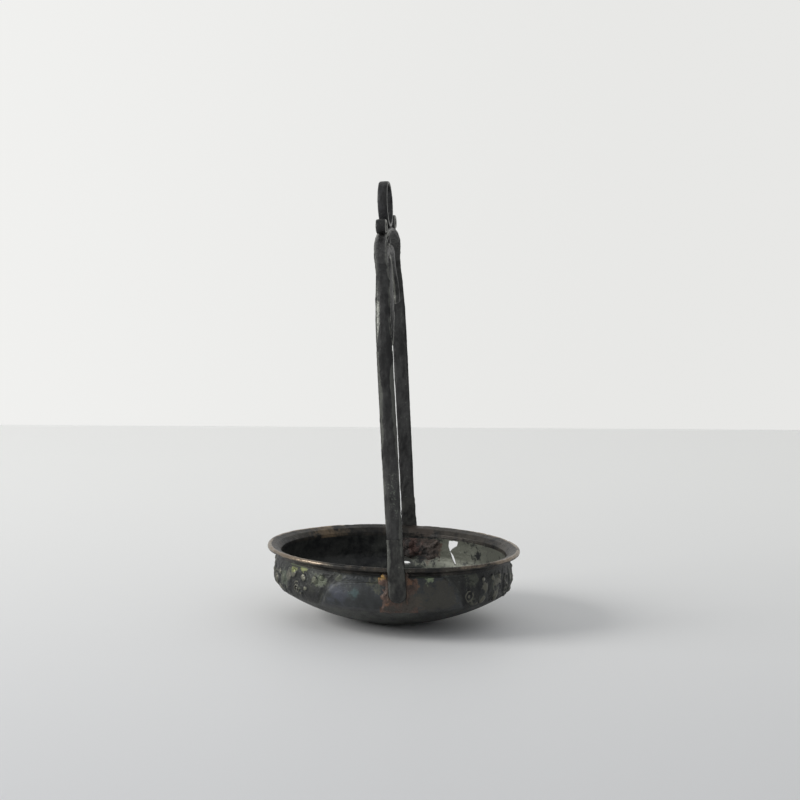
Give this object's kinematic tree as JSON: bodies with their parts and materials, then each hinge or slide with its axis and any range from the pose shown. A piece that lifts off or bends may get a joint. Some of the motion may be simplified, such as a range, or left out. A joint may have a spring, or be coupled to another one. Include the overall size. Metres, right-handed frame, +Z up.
{
  "type": "hanging incense burner",
  "caption": "Shallow bronze bowl with a flared lip and relief bands, under a tall arched strap handle that ends in a hanging ring between curls, with a pendant ornament inside the arch.",
  "frame": {"origin": "centre of the bowl's flat resting face", "axes": "+Z up along the bowl's axis; the handle stands in a plane along X, with its front leg at +X"},
  "size_m": [0.1202, 0.115, 0.1992],
  "materials": {
    "bowl_bronze": "dark green-brown patina, rough",
    "lip_bronze": "grey-brown patina, worn along the nose",
    "relief_bronze": "dark blue-green patina, rough",
    "copper_braze": "brown copper, oxidised",
    "rusted_iron": "red-brown rust",
    "worn_bronze": "dark grey patina",
    "strap_bronze": "dark grey-green patina, pitted"
  },
  "bodies": {
    "root": {"bowl_shell": "bowl_bronze", "lip_ring": "lip_bronze", "left_frieze": "relief_bronze", "right_frieze": "relief_bronze", "front_saddle": "relief_bronze", "rear_saddle": "relief_bronze", "front_foot_pad": "copper_braze", "rear_foot_pad": "copper_braze", "front_inner_plate": "rusted_iron", "rear_inner_plate": "rusted_iron", "front_rivets": "rusted_iron", "rear_rivets": "rusted_iron", "front_braze": "copper_braze", "rear_braze": "copper_braze", "front_foot": "strap_bronze", "rear_foot": "strap_bronze", "front_leg": "strap_bronze", "rear_leg": "strap_bronze", "crown_arch": "strap_bronze", "hanging_ring": "worn_bronze", "front_curl": "strap_bronze", "rear_curl": "strap_bronze", "pendant_boss": "strap_bronze", "pendant_drop": "strap_bronze", "front_tendril": "strap_bronze", "rear_tendril": "strap_bronze"}
  },
  "joints": []
}
